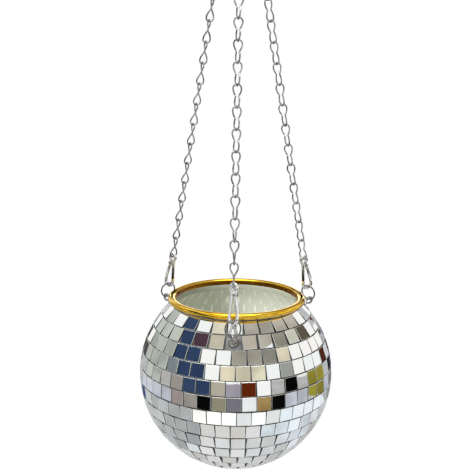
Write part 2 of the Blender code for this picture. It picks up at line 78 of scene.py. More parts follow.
def axes(origin, z_axis, x_hint):
    """A frame whose Z is z_axis and whose X is as near to x_hint as it can be."""
    z_axis = Vector(z_axis).normalized()
    x_axis = Vector(x_hint)
    x_axis = (x_axis - z_axis * x_axis.dot(z_axis)).normalized()
    columns = Matrix((x_axis, z_axis.cross(x_axis), z_axis)).transposed().to_4x4()
    columns.translation = Vector(origin)
    return columns


print("Ball centre:", [round(value, 4) for value in CENTRE])

# %% [markdown]
# The camera stands a little above the mouth and looks slightly down, so that the rim is a flat ellipse and
# the chains run together towards the top of the picture. Its place is given from the ball's centre by a
# distance, an azimuth and an elevation. The pitch, heading and roll then aim it.

# %% Camera
CAMERA_DISTANCE = 0.6054
CAMERA_AZIMUTH = 1.86
CAMERA_ELEVATION = 21.26
CAMERA_PITCH = 11.11
CAMERA_HEADING = -2.03
CAMERA_ROLL = 0.6
CAMERA_LENS = 57.54  # millimetres, on a sensor 36 mm wide

aim = Matrix.Rotation(math.radians(-CAMERA_HEADING), 3, "Z")
aim = aim @ Matrix.Rotation(math.radians(90 - CAMERA_PITCH), 3, "X")
aim = aim @ Matrix.Rotation(math.radians(CAMERA_ROLL), 3, "Z")
bpy.ops.object.camera_add(
    location=CENTRE + CAMERA_DISTANCE * direction(CAMERA_AZIMUTH, CAMERA_ELEVATION),
    rotation=aim.to_euler(),
)
camera = bpy.context.object
camera.data.lens = CAMERA_LENS
camera.data.sensor_width = 36
camera.data.clip_start = 0.01
bpy.context.scene.camera = camera
bpy.context.scene.view_settings.view_transform = "Standard"
print("Camera at", [round(value, 3) for value in camera.location])

# %% [markdown]
# Shader maths reads best as Python. A Value wraps a socket, and each operator on it adds a Math node. Nodes
# wraps a node tree, and its one method, node, adds any other node: its settings first, then its sockets. A
# Finish is a material with such a tree.


# %% Shader helpers
class Value:
    """A socket that Python's operators work on."""

    def __init__(self, nodes, socket):
        self.nodes = nodes
        self.socket = socket

    def math(self, operation, *others):
        return self.nodes.node("ShaderNodeMath", {"operation": operation}, dict(enumerate((self, *others))))

    def __add__(self, other):
        return self.math("ADD", other)

    def __sub__(self, other):
        return self.math("SUBTRACT", other)

    def __rsub__(self, other):
        return self * -1 + other

    def __mul__(self, other):
        return self.math("MULTIPLY", other)

    def __truediv__(self, other):
        return self.math("DIVIDE", other)

    def __abs__(self):
        return self.math("ABSOLUTE")

    __radd__ = __add__
    __rmul__ = __mul__

    def ease(self, low, high):
        """0 below low and 1 above high, with a smooth step between them."""
        sockets = {"Value": self, "From Min": low, "From Max": high}
        return self.nodes.node("ShaderNodeMapRange", {"interpolation_type": "SMOOTHSTEP"}, sockets)


class Nodes:
    """A node tree."""

    def __init__(self, tree):
        self.tree = tree

    def node(self, kind, settings=None, inputs=None, output=0):
        made = self.tree.nodes.new(kind)
        for name, value in (settings or {}).items():
            setattr(made, name, value)
        for name, value in (inputs or {}).items():
            self.connect(made.inputs[name], value)
        return Value(self, made.outputs[output])

    def connect(self, socket, value):
        if isinstance(value, Value):
            self.tree.links.new(value.socket, socket)
        else:
            socket.default_value = value

    def parts(self, vector):
        """The three numbers of a vector."""
        split = self.node("ShaderNodeSeparateXYZ", inputs={0: vector}).socket.node
        return [Value(self, socket) for socket in split.outputs]

    def mix(self, factor, first, second):
        """A colour between two colours."""
        inputs = {0: factor, 6: first, 7: second}
        return self.node("ShaderNodeMix", {"data_type": "RGBA"}, inputs, output=2)

    def place(self, centre=(0, 0, 0)):
        """Object coordinates about a centre."""
        spot = self.node("ShaderNodeTexCoord", output="Object")
        return self.node("ShaderNodeMapping", inputs={"Vector": spot, "Location": [-value for value in centre]})

    def noise(self, vector, scale, detail=2.0):
        return self.node("ShaderNodeTexNoise", inputs={"Vector": vector, "Scale": scale, "Detail": detail})

    def bump(self, height, strength, depth):
        sockets = {"Height": height, "Strength": strength, "Distance": depth}
        return self.node("ShaderNodeBump", inputs=sockets)


class Finish(Nodes):
    """A material. An underscore stands for a space in the name of one of its shader's sockets."""

    def __init__(self, name, **constants):
        self.material = bpy.data.materials.new(name)
        self.material.use_nodes = True
        super().__init__(self.material.node_tree)
        self.feed(**constants)

    def feed(self, **values):
        shader = self.tree.nodes["Principled BSDF"]
        for name, value in values.items():
            self.connect(shader.inputs[name.replace("_", " ")], value)


def paint(red, green, blue):
    """A colour as it looks on screen, 0 to 255, as the linear values that shaders take."""
    shares = [value / 255 for value in (red, green, blue)]
    linear = [share / 12.92 if share <= 0.04045 else ((share + 0.055) / 1.055) ** 2.4 for share in shares]
    return (*linear, 1)


print("Shader helpers ready")

# %% [markdown]
# The studio is a white room: the background is white to the camera and in every reflection, and it gives the
# object soft light at a plain level. The floor is pale and far below the ball. A soft lamp on the left shines
# into the mouth, over the rim, and mirrors don't show it.

# %% Studio light
FLOOR_DROP = 0.6  # floor below the ball's base
FLOOR_WHITE = 0.86  # share of the floor's colour that is plain white to the camera
FLOOR_GLOW = 1.09
SKY_LEVEL = 0.72  # soft light from all round
LAMP_DISTANCE = 1.2
LAMP_WAY = (-42, 31)  # azimuth and elevation
LAMP_POWER = 15


def shown_rays(nodes, *kinds):
    """1 for rays of these kinds, and 0 for others."""
    rays = [nodes.node("ShaderNodeLightPath", output=f"Is {kind} Ray") for kind in kinds]
    return sum(rays[1:], rays[0]).math("MINIMUM", 1)


world = bpy.data.worlds.new("studio")
bpy.context.scene.world = world
world.use_nodes = True
sky = Nodes(world.node_tree)
soft_sky = sky.node("ShaderNodeBackground", inputs={"Strength": SKY_LEVEL})
white_sky = sky.node("ShaderNodeBackground", inputs={"Color": (1, 1, 1, 1)})
soft_sky.socket.node.inputs["Color"].default_value = (1, 1, 1, 1)
background = sky.node(
    "ShaderNodeMixShader", inputs={0: shown_rays(sky, "Camera", "Glossy", "Transmission"), 1: soft_sky, 2: white_sky}
)
sky.connect(world.node_tree.nodes["World Output"].inputs["Surface"], background)

bpy.ops.object.select_all(action="DESELECT")
bpy.ops.mesh.primitive_plane_add(size=16, location=(0, 0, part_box("base_mirror")[0].z - FLOOR_DROP))
floor = bpy.context.object
floor.name = "studio_floor"
boards = Finish("studio_floor", Roughness=0.9)
cloud = boards.noise(boards.place(), 5).ease(0.35, 0.65)
boards.feed(Base_Color=boards.mix(cloud, (0.54, 0.54, 0.53, 1), (0.7, 0.71, 0.74, 1)))
glow = boards.node("ShaderNodeEmission", inputs={"Strength": FLOOR_GLOW})
pale = boards.tree.nodes["Principled BSDF"].outputs[0]
floor_shade = boards.node(
    "ShaderNodeMixShader", inputs={0: shown_rays(boards, "Camera") * FLOOR_WHITE, 1: Value(boards, pale), 2: glow}
)
boards.connect(boards.tree.nodes["Material Output"].inputs["Surface"], floor_shade)
floor.data.materials.append(boards.material)

lamp_place = CENTRE + LAMP_DISTANCE * direction(*LAMP_WAY)
bpy.ops.object.light_add(
    type="AREA", location=lamp_place, rotation=(CENTRE - lamp_place).to_track_quat("-Z", "Y").to_euler()
)
bpy.context.object.visible_glossy = False
lamp = bpy.context.object.data
lamp.energy = LAMP_POWER
lamp.size = 0.4
print("Studio light ready")

# %% [markdown]
# A mirror shows what stands round it, so mirrors need a room to reflect. Here the room is a set of glowing
# cards, which only reflections see. Each card is given by its azimuth and elevation from the ball, its width
# and height in degrees, its roll and its colour. The front cards are named for the things that they stand
# for. Small cards in mixed colours, drawn from a fixed seed, fill the rest, so that no side looks empty. Soft
# dark patches on every card keep neighbouring mirrors from looking alike. A dark counter runs low across the
# front, nearer than the cards. It lies between what two rows of mirrors reflect, so they miss it, but upright
# wires reflect it, which draws them dark against the white.

# %% Reflected room
CARD_DISTANCE = 1.5
CARD_FOLDS = 9  # scale of the light and dark patches on a card
CARD_SHADE = 0.66  # how dark the dark patches are
CARDS = {
    "blue_drape": (-62, 21, 25, 84, -45, paint(54, 74, 108)),
    "plum_shade": (-54, 46, 10, 6, 0, paint(84, 62, 74)),
    "left_wall": (-114, 12, 46, 46, 0, paint(200, 205, 197)),
    "grey_curtain": (-79, 8, 10, 13, 0, paint(150, 160, 166)),
    "cream_wall": (8, 17, 54, 13, 0, paint(240, 232, 206)),
    "cream_ceiling": (-32, 57, 34, 26, 0, paint(238, 231, 208)),
    "grey_ceiling": (62, 57, 80, 24, 0, paint(197, 190, 178)),
    "skylight": (0, 90, 33, 33, 0, (5.2, 5.1, 4.9, 1)),
    "grey_beam": (28, 32.5, 50, 8, 0, paint(172, 167, 156)),
    "grey_shelf": (74, 38, 11, 10, 0, paint(166, 162, 148)),
    "cream_panel": (66, 25, 11, 9, 0, paint(242, 234, 210)),
    "cream_shade": (94, 31, 11, 9, 0, paint(234, 230, 214)),
    "umber_post": (112, 23, 9, 11, 0, paint(112, 100, 84)),
    "grey_panel": (64, 9, 11, 8, 0, paint(164, 164, 158)),
    "olive_screen": (107, -13, 24, 17, 0, paint(160, 150, 62)),
    "black_case": (68, -5, 9, 9, 0, paint(10, 10, 10)),
    "black_speaker": (52, -19, 9, 9, 0, paint(10, 10, 10)),
    "black_bag": (-33, -19, 9, 9, 0, paint(10, 10, 10)),
    "brown_door": (16, -2, 9, 9, 0, paint(112, 44, 16)),
    "brown_chair": (131, -4, 10, 10, 0, paint(96, 52, 40)),
    "violet_box": (-1, -2, 9, 9, 0, paint(168, 160, 172)),
    "violet_shade": (0, -19, 9, 9, 0, paint(124, 120, 132)),
    "tan_shelf": (34, -19, 9, 9, 0, paint(176, 148, 96)),
    "tan_board": (-16, -19, 9, 9, 0, paint(176, 170, 146)),
    "stone_board": (-17, -2, 9, 9, 0, paint(182, 178, 164)),
    "rust_frame": (-67, -5, 9, 8, 0, paint(160, 152, 146)),
    "white_page": (17, -19, 9, 9, 0, paint(246, 248, 250)),
    "grey_page": (-50, -19, 9, 9, 0, paint(164, 158, 153)),
    "rose_page": (-67, -20, 9, 9, 0, paint(184, 172, 168)),
}
SMALL_THINGS = {
    "back_window": (180, 10, 46, 15, 0, (2.5, 2.45, 2.35, 1)),
    "dark_lamp": (77, 39.5, 4, 6, 20, paint(40, 38, 34)),
    "dark_bracket": (30, 32, 3, 3, 30, paint(60, 56, 48)),
    "dark_edge": (50, -2.4, 9, 1.6, 0, paint(50, 48, 46)),
    "orange_cloth": (-68.6, -6.6, 3, 3, 45, paint(214, 112, 72)),
}
SMALL_DISTANCE = 1.42
RUGS = {
    "grey_rug": (-98, -43, 70, 38, 0, paint(204, 207, 209)),
    "white_rug": (-20, -36, 50, 11, 0, (1.3, 1.3, 1.28, 1)),
    "cool_rug": (30, -36, 50, 11, 0, (1.25, 1.27, 1.32, 1)),
    "pale_rug": (92, -43, 74, 36, 0, (0.94, 1, 1.09, 1)),
}
RUG_DISTANCE = 0.68  # so that they lie above the studio's floor
PAGES = (-133, -117, -100, -84, 68, 85, 134)  # azimuths of the pale pages on the walls
PAGE = {"up": -20, "width": 9, "height": 9, "colour": paint(214, 217, 230)}
COUNTER_DISTANCE = 0.8
COUNTER_STEP = 14
COUNTER_COUNT = 17
COUNTER_FOOT = -14.6  # elevation
COUNTER_COLOUR = paint(12, 12, 13)
CLUTTER_COUNT = 70
CLUTTER_COLOURS = [
    paint(206, 204, 196),
    paint(232, 226, 208),
    paint(150, 150, 148),
    paint(88, 86, 84),
    paint(36, 36, 38),
    paint(120, 76, 48),
    paint(60, 80, 128),
    paint(222, 224, 232),
]


def add_card(name, right, up, width, height, roll, colour, distance=CARD_DISTANCE, about=CENTRE):
    """A card that faces the ball, or another point, and shows only in reflections."""
    way = direction(right, up)
    face = axes(about + distance * way, -way, direction(right + 90, 0))
    face = face @ Matrix.Rotation(math.radians(roll), 4, "Z")
    spans = [2 * distance * math.tan(math.radians(angle) / 2) for angle in (width, height)]
    bpy.ops.object.select_all(action="DESELECT")
    bpy.ops.mesh.primitive_plane_add(size=1)
    card = bpy.context.object
    card.name = f"card_{name}"
    card.matrix_world = face @ Matrix.Diagonal((*spans, 1, 1))
    bpy.ops.object.transform_apply(location=True, rotation=True, scale=True)
    light = Finish(f"card_{name}")
    folds = light.noise(light.place(), CARD_FOLDS, 3).ease(0.36, 0.64)
    shade = [value * CARD_SHADE for value in colour[:3]]
    glow = light.node("ShaderNodeEmission", inputs={"Color": light.mix(folds, colour, (*shade, 1))})
    light.connect(light.tree.nodes["Material Output"].inputs["Surface"], glow)
    card.data.materials.append(light.material)
    card.visible_camera = False
    card.visible_diffuse = False
    card.visible_transmission = False
    card.visible_shadow = False


for name, card in CARDS.items():
    add_card(name, *card)
for name, card in SMALL_THINGS.items():
    add_card(name, *card, SMALL_DISTANCE)
for name, card in RUGS.items():
    add_card(name, *card, RUG_DISTANCE)
for right in PAGES:
    add_card(f"page_{right}", right, PAGE["up"], PAGE["width"], PAGE["height"], 0, PAGE["colour"])
for index in range(COUNTER_COUNT):
    right = COUNTER_STEP * (index - COUNTER_COUNT // 2)
    head = -4.6 - 5 * (right / 84) ** 2
    up, height = (head + COUNTER_FOOT) / 2, head - COUNTER_FOOT
    add_card(f"counter_{index}", right, up, COUNTER_STEP + 0.5, height, 0, COUNTER_COLOUR, COUNTER_DISTANCE)
draw = random.Random(11)
for index in range(CLUTTER_COUNT):
    right = draw.uniform(140, 220)
    up = draw.uniform(-28, 60)
    width, height = draw.uniform(6, 18), draw.uniform(6, 18)
    add_card(f"clutter_{index:02d}", right, up, width, height, draw.uniform(-20, 20), draw.choice(CLUTTER_COLOURS))
print("Cards:", len(CARDS) + len(SMALL_THINGS) + len(RUGS), "named and", CLUTTER_COUNT, "mixed")

# %% [markdown]
# The tiles are cut from thin silvered glass. Their faces are clean mirrors, each with its own slight tint and
# a faint wave in the glass. Their arrises are ground, so they scatter light and look pale, and their cut
# sides are dark. The tile's own square UV map tells the face from the arris and the side, and a number
# stored on each tile sets its tint.

# %% Mirror glass
TILE_SIDE = 10 * MM  # nominal, which sets how many tiles a row takes
TILE_FACE = 10.25 * MM  # as cut
ARRIS = 0.24 * MM


def mirror_glass():
    finish = Finish("silvered_glass", Metallic=1)
    across, along, _ = finish.parts(finish.node("ShaderNodeUVMap", {"uv_map": "tile_square"}))
    out = abs(across - 0.5).math("MAXIMUM", abs(along - 0.5))
    face = 0.5 - ARRIS / TILE_FACE
    edge = out.ease(face - 0.002, face + 0.002)
    side = out.ease(0.4985, 0.4995)
    tone = finish.node("ShaderNodeAttribute", {"attribute_name": "tile_tone"}, output="Fac")
    silver = finish.mix(tone, (0.86, 0.9, 0.89, 1), (0.93, 0.91, 0.88, 1))
    specks = finish.noise(finish.place(), 900).ease(0.66, 0.72)
    silver = finish.mix(specks * 0.25, silver, (0.5, 0.52, 0.5, 1))
    wave = finish.noise(finish.place(), 140, 1)
    ground = finish.mix(side, (0.9, 0.93, 0.91, 1), (0.11, 0.12, 0.12, 1))
    finish.feed(
        Base_Color=finish.mix(edge, silver, ground),
        Roughness=0.012 + tone * 0.02 + edge * 0.3,
        Normal=finish.bump(wave, 0.03, 0.2 * MM),
    )
    return finish.material


# %% [markdown]
# The rim is plated in polished gold. Plating is a metal whose colour barely changes, so the noise here moves
# its tint and its gloss only a little, with a fine drawn grain round the bead. The face that looks into the
# ball is dull and painted dark brown: painted shade, for the dark interior that it faces and reflects.


# %% Gold plating
def gold_plating():
    finish = Finish("gold_rim", Metallic=1)
    spot = finish.place(CENTRE)
    cloud = finish.noise(spot, 45)
    x, y, z = finish.parts(spot)
    grain = finish.node("ShaderNodeCombineXYZ", inputs={0: y.math("ARCTAN2", x) * 0.02, 1: z, 2: cloud * 0.001})
    grain = finish.noise(grain, 4000)
    gold = finish.mix(cloud.ease(0.3, 0.7), (0.84, 0.47, 0.02, 1), (0.94, 0.6, 0.07, 1))
    # Painted shade: the bead's inner face is painted dark brown, for the dark inside of the ball that it faces.
    inner = 1 - (x * x + y * y).math("SQRT").ease(47.3 * MM, 48.2 * MM)
    finish.feed(
        Base_Color=finish.mix(inner, gold, (0.3, 0.12, 0.01, 1)),
        Roughness=0.06 + cloud * 0.04 + grain * 0.03 + inner * 0.16,
        Normal=finish.bump(grain, 0.01, 0.01 * MM),
    )
    return finish.material


# %% [markdown]
# The hangers are plated wire, and each kind has its own plating: bright chrome on the clips, nickel on the
# eyes and the hook, dark nickel on the jump rings and dull zinc on the chains. Thin plating is uneven, so
# patches are duller. The gate springs are plain drawn steel.


# %% Wire finishes
def plated_wire(name, light, dark, gloss, grain=0.03):
    finish = Finish(name, Metallic=1)
    spot = finish.place()
    patches = finish.noise(spot, 160, 3).ease(0.4, 0.75)
    draw_lines = finish.noise(spot, 2500, 1)
    finish.feed(
        Base_Color=finish.mix(patches, light, dark),
        Roughness=gloss + patches * 0.06 + draw_lines * 0.04,
        Normal=finish.bump(draw_lines, grain, 0.02 * MM),
    )
    return finish.material


# %% [markdown]
# The ball is moulded in grey plastic. Outside it shows only in the joints between the tiles and round the
# eyes, where it is dark and mottled with glue. Inside it is pale, and the neck just under the rim is painted
# darker as painted shade. Light through the joints is painted too: every gap between two tiles shows as a
# pale painted streak in the colour, with a faint painted glow. The streaks follow from the ball's polar angle,
# which gives the row, and from its azimuth, which gives the place along the row.

# %% Moulded plastic
TILE_GAP = 0.75 * MM
TILE_THICKNESS = 1.3 * MM
SHELL_RADIUS = 73.4 * MM
SHELL_WALL = 2.4 * MM
NECK_RADIUS = 49 * MM
FIRST_EDGE = math.radians(42.2)  # polar angle at which the tiles start
ROW_PITCH = math.radians(8.36)


def moulded_plastic():
    # The emission strength lights the painted streaks below: a painted glow, not a lamp.
    finish = Finish("moulded_plastic", Emission_Strength=0.24)
    spot = finish.place(CENTRE)
    x, y, z = finish.parts(spot)
    radius = finish.node("ShaderNodeVectorMath", {"operation": "LENGTH"}, {0: spot}, output="Value")
    outside = radius.ease(SHELL_RADIUS - SHELL_WALL / 2, SHELL_RADIUS - SHELL_WALL / 3)
    reach = (x * x + y * y).math("SQRT")
    outside = outside * reach.ease(NECK_RADIUS - SHELL_WALL / 2, NECK_RADIUS - SHELL_WALL / 3)
    height = ((z / radius).math("ARCCOSINE") - FIRST_EDGE) / ROW_PITCH
    row = height.math("FLOOR")
    tiles = (((row + 0.5) * ROW_PITCH + FIRST_EDGE).math("SINE") * (math.tau * BALL_RADIUS / TILE_SIDE)).math("FLOOR")
    along = (y.math("ARCTAN2", x) / math.tau * tiles + row * 0.5).math("FRACT")
    patchy = finish.noise(spot, 70)
    # Painted light: a pale streak at every joint between tiles, for the light that comes through the gaps.
    painted_streak = abs(along - 0.5).ease(0.4, 0.48)
    painted_streak = painted_streak * (1 - abs(height - row - 0.5).ease(0.2, 0.5)) * patchy.ease(0.25, 0.6) * height.ease(0, 0.1)
    inside = finish.mix(finish.noise(spot, 25), (0.74, 0.75, 0.62, 1), (0.85, 0.88, 0.81, 1))
    inside = finish.mix(painted_streak, inside, (0.99, 0.99, 0.95, 1))
    # Painted shade: the neck's inside, just under the rim, is painted darker, for the shade that falls there.
    inside = finish.mix(height.ease(-0.14, -0.02), (0.47, 0.48, 0.39, 1), inside)
    glue = finish.mix(patchy.ease(0.35, 0.65), (0.15, 0.155, 0.155, 1), (0.25, 0.255, 0.25, 1))
    finish.feed(
        Base_Color=finish.mix(outside, inside, glue),
        Emission_Color=finish.mix(painted_streak * (1 - outside), (0, 0, 0, 1), (0.9, 0.95, 0.82, 1)),
        Roughness=0.38 + patchy * 0.2,
        Normal=finish.bump(finish.noise(spot, 600), 0.1, 0.1 * MM),
    )
    return finish.material


FINISHES = {
    "mirror_glass": mirror_glass(),
    "gold_plating": gold_plating(),
    "chrome": plated_wire("chrome_plating", (0.95, 0.95, 0.95, 1), (0.87, 0.87, 0.88, 1), 0.03, 0.004),
    "nickel": plated_wire("nickel_plating", (0.5, 0.49, 0.47, 1), (0.33, 0.32, 0.31, 1), 0.1),
    "dark_nickel": plated_wire("dark_nickel_plating", (0.24, 0.23, 0.22, 1), (0.14, 0.135, 0.13, 1), 0.12),
    "zinc": plated_wire("zinc_plating", (0.5, 0.5, 0.5, 1), (0.16, 0.16, 0.165, 1), 0.06, 0.01),
    "spring_steel": plated_wire("drawn_spring_wire", (0.4, 0.4, 0.41, 1), (0.27, 0.27, 0.28, 1), 0.3),
    "grey_plastic": moulded_plastic(),
}
print("Finishes:", ", ".join(FINISHES))

# %% [markdown]
# Pieces are modelled as by hand. A primitive goes in at its size and place, and edit mode shapes it. These
# helpers add a primitive, open edit mode with everything selected, and pick vertices, edges or faces by a
# test. The last one gives a finished piece its finish, its body and the node that it stands for.


# %% Modelling helpers
def add(kind, name, **settings):
    """Adds a mesh primitive, with its place in its mesh."""
    bpy.ops.object.select_all(action="DESELECT")
    getattr(bpy.ops.mesh, f"primitive_{kind}_add")(**settings)
    piece = bpy.context.object
    piece.name = name
    bpy.ops.object.transform_apply(location=True, rotation=True, scale=True)
    return piece


def only(piece):
    """Selects one object and nothing else."""
    bpy.ops.object.select_all(action="DESELECT")
    piece.select_set(True)
    bpy.context.view_layer.objects.active = piece


@contextlib.contextmanager
def editing(piece):
    only(piece)
    bpy.ops.object.mode_set(mode="EDIT")
    bpy.ops.mesh.select_all(action="SELECT")
    yield
    bpy.ops.object.mode_set(mode="OBJECT")


def pick(kind, test):
    """Selects the vertices, edges or faces of the edited piece that pass a test."""
    bpy.ops.mesh.select_mode(type=kind)
    bpy.ops.mesh.select_all(action="DESELECT")
    mesh = bpy.context.object.data
    work = bmesh.from_edit_mesh(mesh)
    for part in {"VERT": work.verts, "EDGE": work.edges, "FACE": work.faces}[kind]:
        if test(part):
            part.select_set(True)
    work.select_flush_mode()
    bmesh.update_edit_mesh(mesh)


def combine(piece, other, operation):
    """Joins another piece to this one, or cuts it out, and removes it."""
    only(piece)
    modifier = piece.modifiers.new("combine", "BOOLEAN")
    modifier.operation = operation
    modifier.object = other
    bpy.ops.object.modifier_apply(modifier=modifier.name)
    bpy.data.objects.remove(other)


def copy_of(master, name):
    """A copy with its own mesh."""
    twin = master.copy()
    twin.data = master.data.copy()
    twin.name = name
    bpy.context.scene.collection.objects.link(twin)
    return twin


def settle(piece, place):
    """Moves a piece to its place and applies the place to its mesh."""
    only(piece)
    piece.matrix_world = place
    bpy.ops.object.transform_apply(location=True, rotation=True, scale=True)


def join(pieces, name):
    """Joins pieces into one object, with their places in its mesh."""
    only(pieces[0])
    for piece in pieces:
        piece.select_set(True)
    bpy.ops.object.join()
    bpy.ops.object.transform_apply(location=True, rotation=True, scale=True)
    pieces[0].name = name
    return pieces[0]


def smooth(piece, degrees=40):
    only(piece)
    bpy.ops.object.shade_smooth_by_angle(angle=math.radians(degrees))


def dress(piece, finish, body, node):
    """Gives a finished piece its finish and body, in the place of a node."""
    piece.data.materials.clear()
    piece.data.materials.append(FINISHES[finish])
    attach(piece, body)
    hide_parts(node)


print("Modelling helpers ready")

# %% [markdown]
# One tile is modelled and then copied. It is a thin block with its arrises ground off, which a bevel on all
# edges gives. The front face lies in the tile's XY plane. A plane alone would show no cut edges, and the pale
# line that a cut edge makes is what tells one tile from the next.

# %% One tile
tile = add(
    "cube",
    "tile",
    size=1,
    location=(0, 0, -TILE_THICKNESS / 2),
    scale=(TILE_FACE, TILE_FACE, TILE_THICKNESS),
)
with editing(tile):
    bpy.ops.mesh.bevel(offset=ARRIS, segments=1, affect="EDGES")
square = tile.data.uv_layers.new(name="tile_square")
for loop in tile.data.loops:
    spot = tile.data.vertices[loop.vertex_index].co
    square.data[loop.index].uv = (spot.x / TILE_FACE + 0.5, spot.y / TILE_FACE + 0.5)
for layer in list(tile.data.uv_layers):
    if layer.name != "tile_square":
        tile.data.uv_layers.remove(layer)
print("Tile:", len(tile.data.polygons), "faces")

# %% [markdown]
# The tiles sit in rows from the mouth to the base, laid by hand, so each one is tilted, turned and shifted a
# little. The tilt matters most: a degree of it turns the reflection by two. The frame gives each row's polar
# angle, and a row takes as many whole tiles as its shorter edge has room for. Rows are turned so that their
# joints fall between those of the next row. The second row gives up one tile to each eye.

# %% Rows of tiles
ROW_TURNS = (-4.7, 0, -0.9, 1.7, -3.5, -2.9, 2.5, -0.8, -0.9, -1.3, 3.6, -2.0, 5.0, -3.0, 8.0)  # degrees
EYE_ROW = 2
EYE_ROW_COUNT = 33
TILT = math.radians(0.6)
TWIST = math.radians(0.7)
SHIFT = 0.09 * MM
lay = random.Random(3)


def row_polar(node):
    """Polar angle of a row's middle, from the middle of the row's height."""
    low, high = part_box(node)
    return math.acos(((low.z + high.z) / 2 - CENTRE.z) / (BALL_RADIUS - TILE_THICKNESS / 2))


def row_count(polar):
    """As many whole tiles as the row's shorter edge takes."""
    back = BALL_RADIUS - TILE_THICKNESS
    shortest = back * math.sin(polar) - TILE_SIDE / 2 * abs(math.cos(polar))
    return int(math.tau * shortest / (TILE_SIDE + TILE_GAP / 2))


def lay_tile(polar, azimuth):
    """A copy of the tile on the ball, at a polar angle and an azimuth in degrees."""
    normal = direction(azimuth, 90 - math.degrees(polar))
    place = axes(CENTRE + normal * BALL_RADIUS, normal, direction(azimuth + 90, 0))
    slip = Matrix.Translation((lay.gauss(0, SHIFT), lay.gauss(0, SHIFT), 0))
    tip = Matrix.Rotation(lay.gauss(0, TILT), 4, "X") @ Matrix.Rotation(lay.gauss(0, TILT), 4, "Y")
    twin = copy_of(tile, "tile_copy")
    twin.matrix_world = place @ slip @ tip @ Matrix.Rotation(lay.gauss(0, TWIST), 4, "Z")
    tone = twin.data.attributes.new("tile_tone", "FLOAT", "POINT")
    shade = lay.random()
    for entry in tone.data:
        entry.value = shade
    return twin


def lay_row(node, polar, azimuths):
    row = join([lay_tile(polar, azimuth) for azimuth in azimuths], node.replace("mirror_", "tiles_"))
    dress(row, "mirror_glass", "planter", node)
    return len(azimuths)


laid = 0
for number, turn in enumerate(ROW_TURNS, start=1):
    if number == EYE_ROW:
        step = 360 / EYE_ROW_COUNT
        for side, azimuth in SIDES.items():
            node = f"mirror_row_{number:02d}_{side}"
            places = [azimuth + step * index for index in range(1, EYE_ROW_COUNT // len(SIDES))]
            laid += lay_row(node, row_polar(node), places)
        continue
    node = f"mirror_row_{number:02d}"
    count = row_count(row_polar(node))
    laid += lay_row(node, row_polar(node), [turn + 360 * (index + 0.5) / count for index in range(count)])
print("Tiles laid:", laid)

# %% [markdown]
# A round mirror closes the tiling at the base. It is a disc with the same ground arris as the tiles. Its UV
# map runs out from the middle, so that the same finish finds its edge.

# %% Base mirror
BASE_RADIUS = 15.5 * MM

base = add(
    "cylinder",
    "base_disc",
    vertices=64,
    radius=BASE_RADIUS,
    depth=TILE_THICKNESS,
    location=(0, 0, CENTRE.z - BALL_RADIUS + TILE_THICKNESS / 2),
)
with editing(base):
    pick("FACE", lambda face: abs(face.normal.z) > 0.9)
    bpy.ops.mesh.region_to_loop()
    bpy.ops.mesh.bevel(offset=2 * ARRIS, segments=2, affect="EDGES")
square = base.data.uv_layers.new(name="tile_square")
for loop in base.data.loops:
    spot = base.data.vertices[loop.vertex_index].co
    square.data[loop.index].uv = (0.5 + 0.5 * math.hypot(spot.x, spot.y) / BASE_RADIUS, 0.5)
base.data.attributes.new("tile_tone", "FLOAT", "POINT")
smooth(base, 20)
dress(base, "mirror_glass", "planter", "base_mirror")
print("Base mirror:", len(base.data.polygons), "faces")

# %% [markdown]
# The shell starts as a sphere. A bisect opens the mouth, and extruding the cut edge draws up the short neck
# that carries the rim. Solidify gives the wall. Inside, the lowest part is pressed flat, so that a pot
# stands on it, and three holes are drilled for the eye bolts.

# %% Shell
NECK_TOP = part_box("ball_shell")[1].z
FLOOR_RADIUS = 20 * MM
BOLT_HOLE = 1.2 * MM
EYE_POLAR = row_polar("mirror_row_02_front")

shell = add("uv_sphere", "planter_shell", segments=128, ring_count=72, radius=SHELL_RADIUS, location=CENTRE)
mouth = CENTRE.z + math.sqrt(SHELL_RADIUS**2 - NECK_RADIUS**2)
with editing(shell):
    bpy.ops.mesh.bisect(plane_co=(0, 0, mouth), plane_no=(0, 0, 1), clear_outer=True)
    bpy.ops.mesh.extrude_region_move(TRANSFORM_OT_translate={"value": (0, 0, NECK_TOP - mouth)})
wall = shell.modifiers.new("wall", "SOLIDIFY")
wall.thickness = SHELL_WALL
wall.offset = -1
wall.use_even_offset = True
bpy.ops.object.modifier_apply(modifier="wall")
inner = SHELL_RADIUS - SHELL_WALL
pot_floor = CENTRE.z - math.sqrt(inner**2 - FLOOR_RADIUS**2)
with editing(shell):
    pick("VERT", lambda vert: vert.co.z < pot_floor and (vert.co - CENTRE).length < inner + SHELL_WALL / 2)
    bpy.ops.transform.resize(value=(1, 1, 0), center_override=(0, 0, pot_floor))
for azimuth in SIDES.values():
    way = direction(azimuth, 90 - math.degrees(EYE_POLAR))
    drill = add(
        "cylinder",
        "drill",
        vertices=24,
        radius=BOLT_HOLE,
        depth=4 * SHELL_WALL,
        location=CENTRE + way * (SHELL_RADIUS - SHELL_WALL / 2),
        rotation=way.to_track_quat("Z", "Y").to_euler(),
    )
    combine(shell, drill, "DIFFERENCE")
smooth(shell, 60)
dress(shell, "grey_plastic", "planter", "ball_shell")
print("Shell:", len(shell.data.polygons), "faces")

# %% [markdown]
# The rim is a round bead that sits over the neck's lip, with a thin skirt down the inside of the neck. Its
# section is drawn as a circle, pressed to an oval and rolled flat inside. Its inner lower quarter is cut back
# to a step that fits the lip, the skirt is drawn on, and the section is spun round the ball's axis. A plain
# torus would cut into the neck.

